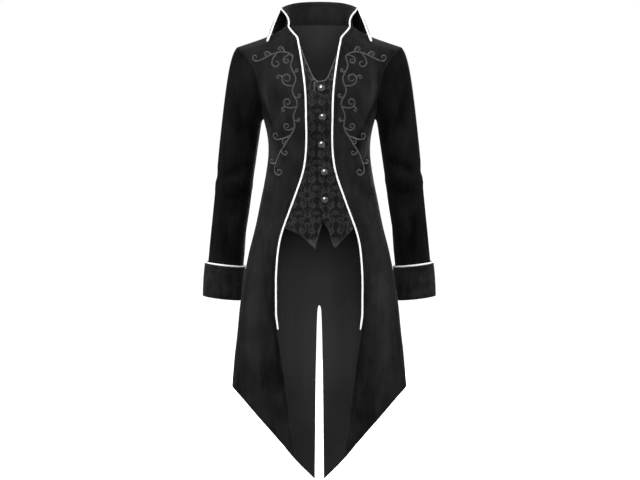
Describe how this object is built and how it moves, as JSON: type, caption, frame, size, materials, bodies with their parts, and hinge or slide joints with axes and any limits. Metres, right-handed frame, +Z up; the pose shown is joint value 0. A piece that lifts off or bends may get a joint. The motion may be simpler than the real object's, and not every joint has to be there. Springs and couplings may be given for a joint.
{
  "type": "steampunk tailcoat",
  "caption": "Long black tailcoat with a high turned-down collar, pointed tails, turned-back cuffs, white piping and a buttoned mock waistcoat.",
  "frame": {"origin": "on the wearer's axis, level with the neck ends of the shoulder seams, where the coat hangs on its wearer", "axes": "+X to the wearer's left, -Y to the front, +Z up"},
  "size_m": [0.591, 0.2675, 1.2368],
  "materials": {
    "suede_cloth": "soft matt suede-like polyester, black",
    "brocade": "black brocade, the woven scrolls slightly shinier than the ground",
    "piping": "white satin-covered cord",
    "silver": "polished silver-coloured metal"
  },
  "bodies": {
    "root": {"front_left": "suede_cloth", "front_right": "suede_cloth", "back_left": "suede_cloth", "back_right": "suede_cloth", "collar": "suede_cloth", "sleeve_top_left": "suede_cloth", "sleeve_top_right": "suede_cloth", "sleeve_under_left": "suede_cloth", "sleeve_under_right": "suede_cloth", "cuff_left": "suede_cloth", "cuff_right": "suede_cloth", "waistcoat_left": "brocade", "waistcoat_right": "brocade", "piping_front_left": "piping", "piping_front_right": "piping", "piping_collar": "piping", "piping_cuff_left": "piping", "piping_cuff_right": "piping", "button_1": "silver", "button_2": "silver", "button_3": "silver", "button_4": "silver", "button_5": "silver"}
  },
  "joints": []
}
